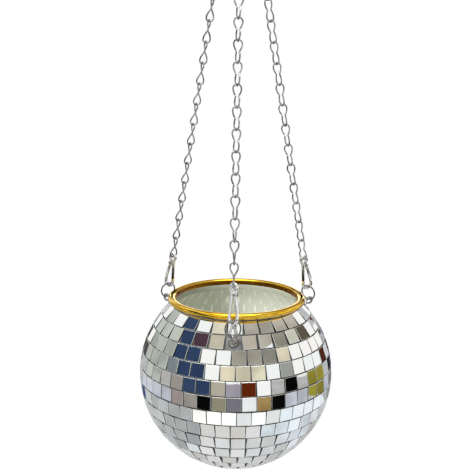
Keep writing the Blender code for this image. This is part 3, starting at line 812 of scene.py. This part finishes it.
# %% Rim
RIM_BEAD = 3.1 * MM
RIM_RADIUS = 50.2 * MM
LIP_GAP = 0.3 * MM
RIM_LEVEL = NECK_TOP + LIP_GAP
RIM_STEPS = 160
SKIRT_WALL = 0.25 * MM
SKIRT_RADIUS = 46.45 * MM  # inside of the skirt, just clear of the neck
SKIRT_DEPTH = 1.8 * MM
RIM_FLATTEN = 0.76  # height of the section to its width
RIM_INSIDE = 47.5 * MM  # the inner face is rolled flat here


def draw_to(x, z):
    """Draws the section on from its selected end to a point."""
    end = [vert.co for vert in bmesh.from_edit_mesh(bpy.context.object.data).verts if vert.select][0]
    bpy.ops.mesh.extrude_region_move(TRANSFORM_OT_translate={"value": (x - end.x, 0, z - end.z)})


rim = add(
    "circle",
    "gold_bead",
    vertices=48,
    radius=RIM_BEAD,
    location=(RIM_RADIUS, 0, RIM_LEVEL),
    rotation=(math.pi / 2, 0, 0),
)
step_side = NECK_RADIUS + LIP_GAP
with editing(rim):
    bpy.ops.transform.resize(value=(1, 1, RIM_FLATTEN), center_override=(RIM_RADIUS, 0, RIM_LEVEL))
    pick("VERT", lambda vert: vert.co.x < RIM_INSIDE)
    bpy.ops.transform.resize(value=(0, 1, 1), center_override=(RIM_INSIDE, 0, RIM_LEVEL))
    pick("VERT", lambda vert: vert.co.x < step_side and vert.co.z < RIM_LEVEL - LIP_GAP / 10)
    bpy.ops.mesh.delete(type="VERT")
    pick("VERT", lambda vert: len(vert.link_edges) == 1 and vert.co.z < RIM_LEVEL - LIP_GAP)
    draw_to(step_side, RIM_LEVEL)
    pick("VERT", lambda vert: len(vert.link_edges) == 1 and vert.co.x < step_side - LIP_GAP)
    for x, z in (
        (SKIRT_RADIUS, RIM_LEVEL - LIP_GAP),
        (SKIRT_RADIUS, RIM_LEVEL - SKIRT_DEPTH),
        (SKIRT_RADIUS + SKIRT_WALL, RIM_LEVEL - SKIRT_DEPTH),
        (SKIRT_RADIUS + SKIRT_WALL, RIM_LEVEL),
    ):
        draw_to(x, z)
    pick("VERT", lambda vert: len(vert.link_edges) == 1)
    bpy.ops.mesh.edge_face_add()
    bpy.ops.mesh.select_all(action="SELECT")
    bpy.ops.mesh.spin(steps=RIM_STEPS, angle=math.tau, center=(0, 0, 0), axis=(0, 0, 1))
    bpy.ops.mesh.select_all(action="SELECT")
    bpy.ops.mesh.remove_doubles(threshold=0.001 * MM)
    bpy.ops.mesh.normals_make_consistent(inside=False)
smooth(rim, 40)
dress(rim, "gold_plating", "planter", "rim_bead")
print("Rim:", len(rim.data.polygons), "faces")

# %% [markdown]
# All the hangers are bent wire, so they are made as on a bending jig. The wire runs straight from post to
# post and bends round each one. Extruding the wire's round end draws a straight run, and spinning it draws a
# bend. The posts are given in a plane, as (x, z, radius) with the radius negative where the wire turns left.
# The tangent from one post to the next follows from the two centres and radii.

# %% Bending jig
WIRE_SIDES = 16
BEND_STEP = 10  # degrees


def start_wire(name, point, heading, diameter):
    """Adds the round end of a wire, which is left in edit mode with the end selected."""
    turn = Vector(heading).to_track_quat("Z", "Y").to_euler()
    wire = add("circle", name, vertices=WIRE_SIDES, radius=diameter / 2, location=point, rotation=turn)
    bpy.ops.object.mode_set(mode="EDIT")
    bpy.ops.mesh.select_all(action="SELECT")
    return wire


def bend(centre, axis, degrees):
    """Bends the wire about an axis, by the right-hand rule. The operator itself turns the other way."""
    steps = max(2, round(abs(degrees) / BEND_STEP))
    bpy.ops.mesh.spin(steps=steps, angle=-math.radians(degrees), center=centre, axis=axis)


def end_wire(wire, diameter):
    """Closes both ends of the wire and rounds their edges."""
    bpy.ops.mesh.select_all(action="SELECT")
    bpy.ops.mesh.remove_doubles(threshold=0.001 * MM)
    bpy.ops.mesh.fill_holes(sides=0)
    pick("FACE", lambda face: len(face.verts) == WIRE_SIDES)
    bpy.ops.mesh.region_to_loop()
    bpy.ops.mesh.bevel(offset=diameter / 12, segments=2, affect="EDGES")
    bpy.ops.mesh.select_all(action="SELECT")
    bpy.ops.mesh.normals_make_consistent(inside=False)
    bpy.ops.object.mode_set(mode="OBJECT")
    smooth(wire, 50)


def bend_on_jig(name, posts, diameter):
    """A wire in the XZ plane. Headings are angles from +Z towards +X."""
    headings = []
    runs = []
    for (x, z, radius), (next_x, next_z, next_radius) in zip(posts, posts[1:]):
        apart = math.hypot(next_x - x, next_z - z)
        swing = next_radius - radius
        run = math.sqrt(max(0, apart**2 - swing**2))
        headings.append(math.atan2(next_x - x, next_z - z) - math.atan2(swing, run))
        runs.append(run)
    ways = [Vector((math.sin(heading), 0, math.cos(heading))) for heading in headings]
    wire = start_wire(name, (posts[0][0], 0, posts[0][1]), ways[0], diameter)
    for index, way in enumerate(ways):
        if runs[index] > 0.01 * MM:
            bpy.ops.mesh.extrude_region_move(TRANSFORM_OT_translate={"value": way * runs[index]})
        if index + 1 < len(ways):
            x, z, radius = posts[index + 1]
            turn = math.degrees(headings[index + 1] - headings[index]) % 360
            bend((x, 0, z), (0, 1, 0), turn if radius > 0 else turn - 360)
    end_wire(wire, diameter)
    return wire


print("Jig ready")

# %% [markdown]
# The hook that the planter hangs by isn't in view from the front, but it carries everything: an open bow
# above, and an eye below that closes on its own wire. Both are arcs on the jig, and the hook stands in the
# YZ plane. The ring below it is welded shut, so it is spun all the way round and given a small swelling
# where the weld is.

# %% Hook and top ring
HOOK_WIRE = 3.2 * MM
HOOK_BOW = 12.6 * MM  # to the middle of the wire
HOOK_EYE = 6.6 * MM
HOOK_REACH = 26 * MM
TOP_RING_WIRE = 2.5 * MM
TOP_RING_RADIUS = 11 * MM
WELD_WIDTH = 1.2 * MM

bow = (0, -HOOK_BOW + HOOK_WIRE / 2)
eye = (0, bow[1] - HOOK_REACH)
tip = math.radians(200)
shut = math.pi - math.asin((HOOK_BOW + HOOK_EYE) / HOOK_REACH) - 2 * math.asin(3.8 * MM / (2 * HOOK_EYE))
hook = bend_on_jig(
    "ceiling_hook",
    [
        (bow[0] + HOOK_BOW * math.cos(tip), bow[1] + HOOK_BOW * math.sin(tip), 0),
        (*bow, HOOK_BOW),
        (*eye, -HOOK_EYE),
        (eye[0] + HOOK_EYE * math.cos(shut), eye[1] + HOOK_EYE * math.sin(shut), 0),
    ],
    HOOK_WIRE,
)
settle(hook, Matrix.Rotation(math.pi / 2, 4, "Z"))
dress(hook, "nickel", "hook", "hanger_hook")

ring_low, ring_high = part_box("top_ring")
ring_centre = (ring_low + ring_high) / 2
ring = start_wire("hanging_ring", ring_centre + Vector((TOP_RING_RADIUS, 0, 0)), (0, 0, 1), TOP_RING_WIRE)
bpy.ops.mesh.spin(steps=48, angle=math.tau, center=ring_centre, axis=(0, 1, 0))
bpy.ops.mesh.select_all(action="SELECT")
bpy.ops.mesh.remove_doubles(threshold=0.001 * MM)
bpy.ops.mesh.normals_make_consistent(inside=False)
weld = ring_centre + Vector((TOP_RING_RADIUS, 0, 0))
pick("VERT", lambda vert: abs(vert.co.z - weld.z) < WELD_WIDTH / 2 and vert.co.x > weld.x - TOP_RING_WIRE)
bpy.ops.transform.resize(value=(1.1, 1.1, 1), center_override=weld)
bpy.ops.object.mode_set(mode="OBJECT")
smooth(ring, 60)
dress(ring, "nickel", "ring", "top_ring")
print("Hook and ring:", len(hook.data.polygons) + len(ring.data.polygons), "faces")

# %% [markdown]
# Each eye bolt is one wire. It runs straight up through the shell, kinks to one side and is bent round into
# the eye, whose end stops just short of the shank. A round flange lies on the shell. Inside the ball, a
# washer and a nut hold it. The washer is a disc with a hole bridged through it, and the nut is a six-sided
# cylinder with its corners chamfered and a hole cut through.

# %% Eye bolts
EYE_WIRE = 1.8 * MM
EYE_RADIUS = 2.7 * MM
EYE_HEIGHT = BALL_RADIUS + 8.5 * MM  # eye's centre from the ball's
BOLT_END = 67 * MM
KINK = 2 * MM
EYE_OPEN = math.radians(236)
FLANGE_RADIUS = 3.65 * MM
FLANGE_LOW = 73.7 * MM
FLANGE_HEIGHT = 1.2 * MM
WASHER_RADIUS = 3.6 * MM
WASHER_LOW, WASHER_HIGH = 70.1 * MM, 70.7 * MM
NUT_CORNER = 2 * MM / math.cos(math.pi / 6)
NUT_LOW, NUT_HIGH = 68.2 * MM, 69.8 * MM


def eye_bolt(name):
    kink = EYE_HEIGHT - math.sqrt((KINK + EYE_RADIUS) ** 2 - KINK**2) - 0.01 * MM
    end = (EYE_RADIUS * math.cos(EYE_OPEN), EYE_HEIGHT + EYE_RADIUS * math.sin(EYE_OPEN), 0)
    bolt = bend_on_jig(
        name, [(0, BOLT_END, 0), (KINK, kink, KINK), (0, EYE_HEIGHT, -EYE_RADIUS), end], EYE_WIRE
    )
    flange = add(
        "cone",
        "flange",
        vertices=48,
        radius1=FLANGE_RADIUS,
        radius2=FLANGE_RADIUS - FLANGE_HEIGHT / 2,
        depth=FLANGE_HEIGHT,
        location=(0, 0, FLANGE_LOW + FLANGE_HEIGHT / 2),
    )
    with editing(flange):
        pick("FACE", lambda face: face.normal.z > 0.9)
        bpy.ops.mesh.region_to_loop()
        bpy.ops.mesh.bevel(offset=FLANGE_HEIGHT / 2.5, segments=4, affect="EDGES")
    combine(bolt, flange, "UNION")
    smooth(bolt, 50)
    return bolt


def washer(name):
    depth = WASHER_HIGH - WASHER_LOW
    middle = (WASHER_HIGH + WASHER_LOW) / 2
    disc = add("cylinder", name, vertices=48, radius=WASHER_RADIUS, depth=depth, location=(0, 0, middle))
    with editing(disc):
        pick("FACE", lambda face: abs(face.normal.z) > 0.9)
        bpy.ops.mesh.inset(thickness=WASHER_RADIUS - BOLT_HOLE)
        bpy.ops.mesh.bridge_edge_loops()
        bpy.ops.mesh.select_all(action="SELECT")
        bpy.ops.mesh.normals_make_consistent(inside=False)
        rim_only = WASHER_RADIUS * 0.98
        pick("EDGE", lambda edge: all(vert.co.xy.length > rim_only for vert in edge.verts)
             and abs(edge.verts[0].co.z - edge.verts[1].co.z) < depth / 10)
        bpy.ops.mesh.bevel(offset=depth / 5, segments=2, affect="EDGES")
    smooth(disc, 35)
    return disc


def nut(name):
    depth = NUT_HIGH - NUT_LOW
    middle = (NUT_HIGH + NUT_LOW) / 2
    block = add("cylinder", name, vertices=6, radius=NUT_CORNER, depth=depth, location=(0, 0, middle))
    with editing(block):
        pick("FACE", lambda face: abs(face.normal.z) > 0.9)
        bpy.ops.mesh.region_to_loop()
        bpy.ops.mesh.bevel(offset=depth / 8, segments=2, affect="EDGES")
    thread = add("cylinder", "thread", vertices=24, radius=BOLT_HOLE, depth=2 * depth, location=(0, 0, middle))
    combine(block, thread, "DIFFERENCE")
    smooth(block, 35)
    return block


def chain_axis(side):
    return Vector(joints[f"{side}_chain_twist"]["axis"])


def ring_across(side):
    """The direction across a jump ring, square to its own axis and to the chain."""
    return Vector(joints[f"{side}_ring_spin"]["axis"]).cross(chain_axis(side))


for side, azimuth in SIDES.items():
    normal = direction(azimuth, 90 - math.degrees(EYE_POLAR))
    anchor = axes(CENTRE, normal, ring_across(side)) @ Matrix.Rotation(math.pi / 2, 4, "Z")
    made = {
        "eye_bolt": eye_bolt(f"screw_eye_{side}"),
        "washer": washer(f"flat_washer_{side}"),
        "nut": nut(f"hex_nut_{side}"),
    }
    for node, piece in made.items():
        settle(piece, anchor)
        dress(piece, "nickel", "planter", f"{node}_{side}")
print("Eye bolts:", len(SIDES))

# %% [markdown]
# A jump ring is a ring of wire that is closed by hand, so a hairline stays open between its ends. It hangs in
# the eye and carries the clip.

# %% Jump rings
RING_WIRE = 1.2 * MM
RING_RADIUS = 6 * MM
RING_SPLIT = 250  # degrees round the ring, on the side away from the clip
RING_GAP = 1.2  # degrees

for side in SIDES:
    split = math.radians(RING_SPLIT)
    start = RING_RADIUS * Vector((math.cos(split), 0, math.sin(split)))
    jump_ring = start_wire(f"split_ring_{side}", start, (-math.sin(split), 0, math.cos(split)), RING_WIRE)
    bend((0, 0, 0), (0, -1, 0), 360 - RING_GAP)
    end_wire(jump_ring, RING_WIRE)
    settle(jump_ring, axes(joints[f"{side}_ring_spin"]["pos_m"], chain_axis(side), ring_across(side)))
    dress(jump_ring, "dark_nickel", f"{side}_jump_ring", f"jump_ring_{side}")
print("Jump rings:", len(SIDES))

# %% [markdown]
# A snap clip is a stout wire bent into a bow, a waist and an eye. Its end is flattened to a tang, and a sprung
# gate is riveted to it. The wire comes off the jig. The tang is a disc and a short bar, joined to the wire and
# drilled. The gate is a round bar, slotted for the tang, bored for its spring and rounded at its free end. A
# small black flag stands before each side clip, as in a studio, so that the wire reflects dark.

# %% Snap clips
CLIP_WIRE = 2.4 * MM
CLIP_LIFT = 9.9 * MM  # middle of the bow's lowest wire above the hanger's origin
CLIP_LENGTH = 27.4 * MM
CLIP_BOW = 3.6 * MM
CLIP_EYE = 2.6 * MM
CLIP_WAIST = 1.45 * MM
WAIST_BEND = 6 * MM
PIVOT_HEIGHT = 19.8 * MM
GATE_LENGTH = 12.4 * MM
GATE_RADIUS = 1.3 * MM
GATE_BORE = 0.9 * MM
GATE_GAP = 0.3 * MM
TANG = 1 * MM
RIVET_RADIUS = 0.5 * MM
RIVET_HEAD = 1.1 * MM
SPRING_LENGTH = 4 * MM
SPRING_WIRE = 0.22 * MM
SPRING_RADIUS = 0.47 * MM
SPRING_TURNS = 9
GATE_SIDES = {"front": 1, "right": 1, "left": -1}
FLAG_DISTANCE = 4 * MM
FLAG = (-16, 70, 96, 0)  # elevation, width, height and roll
FLAGS = {"right": (-38, 46), "left": (38, -46)}  # azimuths of the flags of the side clips

pivot = Vector((CLIP_WAIST, PIVOT_HEIGHT))
gate_run = CLIP_BOW - CLIP_WAIST
nose = pivot + Vector((gate_run, -math.sqrt((GATE_LENGTH + GATE_GAP) ** 2 - gate_run**2)))
gate_way = (pivot - nose).normalized()
wire_end = pivot + gate_way * (GATE_RADIUS * math.sqrt(2) + GATE_GAP)


def clip_wire(name, gate):
    """The wire and its tang, with the gate on the +X side, or on the -X side where gate is -1."""
    wire = bend_on_jig(
        name,
        [
            (gate * nose.x, nose.y, 0),
            (0, CLIP_BOW, gate * CLIP_BOW),
            (-gate * (CLIP_WAIST + WAIST_BEND), PIVOT_HEIGHT, -gate * WAIST_BEND),
            (0, CLIP_LENGTH - CLIP_EYE, gate * CLIP_EYE),
            (gate * wire_end.x, wire_end.y, 0),
        ],
        CLIP_WIRE,
    )
    hinge = axes((gate * pivot.x, 0, pivot.y), (gate * gate_way.x, 0, gate_way.y), (1, 0, 0))
    reach = (wire_end - pivot).length + CLIP_WIRE / 4
    tang = add(
        "cylinder", "tang", vertices=32, radius=GATE_RADIUS, depth=TANG, rotation=(math.pi / 2, 0, 0)
    )
    root = add(
        "cube", "root", size=1, location=(0, 0, reach / 2), scale=(1.6 * GATE_RADIUS, 0.9 * TANG, reach)
    )
    combine(tang, root, "UNION")
    settle(tang, hinge)
    combine(wire, tang, "UNION")
    drill = add(
        "cylinder", "drill", vertices=24, radius=RIVET_RADIUS + GATE_GAP, depth=4 * TANG, rotation=(math.pi / 2, 0, 0)
    )
    settle(drill, hinge)
    combine(wire, drill, "DIFFERENCE")
    smooth(wire, 50)
    return wire


def clip_gate(name):
    """The gate hangs down from its pivot, which is at the origin."""
    length = GATE_LENGTH + GATE_RADIUS
    slot_floor = -(GATE_RADIUS + GATE_GAP)
    bar = add(
        "cylinder", name, vertices=32, radius=GATE_RADIUS, depth=length, location=(0, 0, length / 2 - GATE_LENGTH)
    )
    with editing(bar):
        pick("FACE", lambda face: face.normal.z < -0.9)
        bpy.ops.mesh.region_to_loop()
        bpy.ops.mesh.bevel(offset=0.4 * GATE_RADIUS, segments=4, affect="EDGES")
        pick("FACE", lambda face: face.normal.z > 0.9)
        bpy.ops.mesh.region_to_loop()
        bpy.ops.mesh.bevel(offset=0.15 * GATE_RADIUS, segments=2, affect="EDGES")
    high = GATE_RADIUS + GATE_GAP
    slot = add(
        "cube",
        "slot",
        size=1,
        location=(0, 0, (slot_floor + high) / 2),
        scale=(4 * GATE_RADIUS, TANG + 2 * GATE_GAP, high - slot_floor),
    )
    combine(bar, slot, "DIFFERENCE")
    deep = SPRING_LENGTH + 2 * GATE_GAP
    bore = add(
        "cylinder", "bore", vertices=24, radius=GATE_BORE, depth=deep, location=(0, 0, slot_floor + GATE_GAP - deep / 2)
    )
    combine(bar, bore, "DIFFERENCE")
    cross = add(
        "cylinder", "cross", vertices=24, radius=RIVET_RADIUS + GATE_GAP, depth=4 * GATE_RADIUS, rotation=(math.pi / 2, 0, 0)
    )
    combine(bar, cross, "DIFFERENCE")
    smooth(bar, 35)
    return bar


def rivet(name):
    """A pin along Y with a domed head drawn out at each end."""
    half = GATE_RADIUS + GATE_GAP
    pin = add("cylinder", name, vertices=24, radius=RIVET_RADIUS, depth=2 * half, rotation=(math.pi / 2, 0, 0))
    for way in (1, -1):
        with editing(pin):
            for reach, width in ((0, RIVET_HEAD), (0.2, RIVET_HEAD * 0.92), (0.14, RIVET_HEAD * 0.7), (0.06, RIVET_HEAD * 0.35)):
                pick("FACE", lambda face: face.normal.y * way > 0.9 and face.calc_center_median().y * way > half * 0.9
                     and len(face.verts) > 4)
                now = max(vert.co.xz.length for vert in bmesh.from_edit_mesh(pin.data).verts if vert.select)
                bpy.ops.mesh.extrude_region_move(TRANSFORM_OT_translate={"value": (0, way * reach * MM, 0)})
                spread = width / now
                bpy.ops.transform.resize(value=(spread, 1, spread), center_override=(0, way * half, 0))
    smooth(pin, 40)
    return pin


def gate_spring(name):
    """A small coil: a round section wound up by a screw modifier."""
    low = -(GATE_RADIUS + GATE_GAP) - SPRING_LENGTH + SPRING_WIRE
    coil = add(
        "circle", name, vertices=8, radius=SPRING_WIRE / 2, location=(SPRING_RADIUS, 0, low), rotation=(math.pi / 2, 0, 0)
    )
    wind = coil.modifiers.new("wind", "SCREW")
    wind.axis = "Z"
    wind.iterations = SPRING_TURNS
    wind.screw_offset = (SPRING_LENGTH - 2 * SPRING_WIRE) / SPRING_TURNS
    wind.steps = 14
    wind.render_steps = 14
    only(coil)
    bpy.ops.object.modifier_apply(modifier="wind")
    with editing(coil):
        bpy.ops.mesh.fill_holes(sides=0)
        bpy.ops.mesh.normals_make_consistent(inside=False)
    smooth(coil, 60)
    return coil


for side, gate in GATE_SIDES.items():
    hinge_joint = joints[f"{side}_gate_open"]
    sideways = (gate * Vector(hinge_joint["axis"])).cross(chain_axis(side))
    origin = Vector(joints[f"{side}_clip_twist"]["pos_m"]) + chain_axis(side) * CLIP_LIFT
    clip = axes(origin, chain_axis(side), sideways)
    gate_up = clip.to_3x3() @ Vector((gate * gate_way.x, 0, gate_way.y))
    hinge = axes(hinge_joint["pos_m"], gate_up, sideways)
    made = [
        (clip_wire(f"clip_wire_{side}", gate), clip, "chrome", "bright_steel", "clip", "clip_body"),
        (rivet(f"rivet_pin_{side}"), hinge, "nickel", "bright_steel", "clip", "gate_rivet"),
        (clip_gate(f"gate_bar_{side}"), hinge, "chrome", "bright_steel", "gate", "clip_gate"),
        (gate_spring(f"coil_spring_{side}"), hinge, "spring_steel", "spring_steel", "gate", "gate_spring"),
    ]
    for piece, place, finish, slot, body, node in made:
        settle(piece, place)
        dress(piece, finish, f"{side}_{body}", f"{node}_{side}")
    spine = clip @ Vector((-gate * (CLIP_BOW + CLIP_WAIST) / 2, 0, (CLIP_BOW + PIVOT_HEIGHT) / 2))
    for azimuth in FLAGS.get(side, ()):
        add_card(f"flag_{side}_{azimuth}", azimuth, *FLAG, COUNTER_COLOUR, FLAG_DISTANCE, spine)
print("Snap clips:", len(GATE_SIDES))

# %% [markdown]
# The chains are jack chain: each link is one wire bent into a figure of eight, with its lower loop turned
# square to its upper loop and its two ends meeting at the waist. A ring of points is moved to that curve and
# opened at the waist, made a curve with a round section, and made a mesh again. The link is modelled once and
# copied down each chain, each copy turned a little further, because the chains hang with a slow twist. The
# links only touch, so a link is as long as its pitch and its wire.

# %% Chains
LINK_WIRE = 1.2 * MM
LINK_WIDTH = 5.4 * MM
LINK_COUNT = 19
LINK_PLAY = 0.05 * MM
LINK_PASS = 0.85 * MM  # how far each wire stands aside where the two pass
LINK_POINTS = 96
LINK_NOMINAL = 16.4 * MM
CHAIN_LOW = 35.2 * MM  # middle of the lowest wire above the hanger's origin
TOP_STEP = (LINK_WIRE + TOP_RING_WIRE) / 2 + 0.3 * MM
CHAIN_SPACING = 5.3 * MM
CHAINS = {
    "front": {"place": 0, "turns": ((0, 90), (0.33, 16), (0.75, 34), (1, -14))},
    "right": {"place": 1, "turns": ((0, 90), (0.33, 45), (0.6, 20), (0.75, 22), (1, 48))},
    "left": {"place": -1, "turns": ((0, -90), (0.33, -64), (1, -55))},
}


def one_link(length):
    link = add("circle", "link", vertices=LINK_POINTS, radius=1)
    for index, vert in enumerate(link.data.vertices):
        angle = math.tau * index / LINK_POINTS
        out = LINK_WIDTH / 2 * math.sin(2 * angle)
        off = LINK_PASS * math.sin(angle) ** 3
        upper = math.cos(angle) > 0
        vert.co = ((out if upper else 0) + off, (0 if upper else out) - off, length / 2 * math.cos(angle))
    with editing(link):
        waist = LINK_POINTS * 3 // 4
        pick("EDGE", lambda edge: {vert.index for vert in edge.verts} == {waist, waist + 1})
        bpy.ops.mesh.delete(type="EDGE")
    bpy.ops.object.convert(target="CURVE")
    link.data.bevel_depth = LINK_WIRE / 2
    link.data.bevel_resolution = 3
    link.data.use_fill_caps = True
    bpy.ops.object.convert(target="MESH")
    with editing(link):
        bpy.ops.mesh.remove_doubles(threshold=0.001 * MM)
        bpy.ops.mesh.normals_make_consistent(inside=False)
    smooth(link, 60)
    return link


def twist_at(turns, share):
    """A link's turn, from the turns given at some shares of the way down its chain."""
    for (first, turn), (last, next_turn) in zip(turns, turns[1:]):
        if share <= last:
            return math.radians(turn + (next_turn - turn) * (share - first) / (last - first))


for side, chain in CHAINS.items():
    origin = Vector(joints[f"{side}_chain_twist"]["pos_m"])
    hanger = axes(origin, chain_axis(side), (1, 0, 0))
    spread = chain["place"] * math.asin(CHAIN_SPACING / TOP_RING_RADIUS)
    hung = ring_centre + TOP_RING_RADIUS * Vector((math.sin(spread), 0, -math.cos(spread)))
    top = (hung - origin).length + TOP_STEP
    pitch = (top - CHAIN_LOW - LINK_NOMINAL) / (LINK_COUNT - 1)
    link = one_link(pitch + LINK_WIRE + LINK_PLAY)
    links = []
    for index in range(LINK_COUNT):
        twin = copy_of(link, "link_copy")
        turn = Matrix.Rotation(twist_at(chain["turns"], index / (LINK_COUNT - 1)), 4, "Z")
        twin.matrix_world = hanger @ Matrix.Translation((0, 0, top - LINK_NOMINAL / 2 - index * pitch)) @ turn
        links.append(twin)
    bpy.data.objects.remove(link)
    strand = join(links, f"link_chain_{side}")
    dress(strand, "zinc", f"{side}_chain", f"chain_{side}")
    print("Chain", side, "pitch", round(pitch / MM, 2), "mm")

# %% [markdown]
# The master tile has been copied everywhere it is needed, so it goes.

# %% Finish
bpy.data.objects.remove(tile)
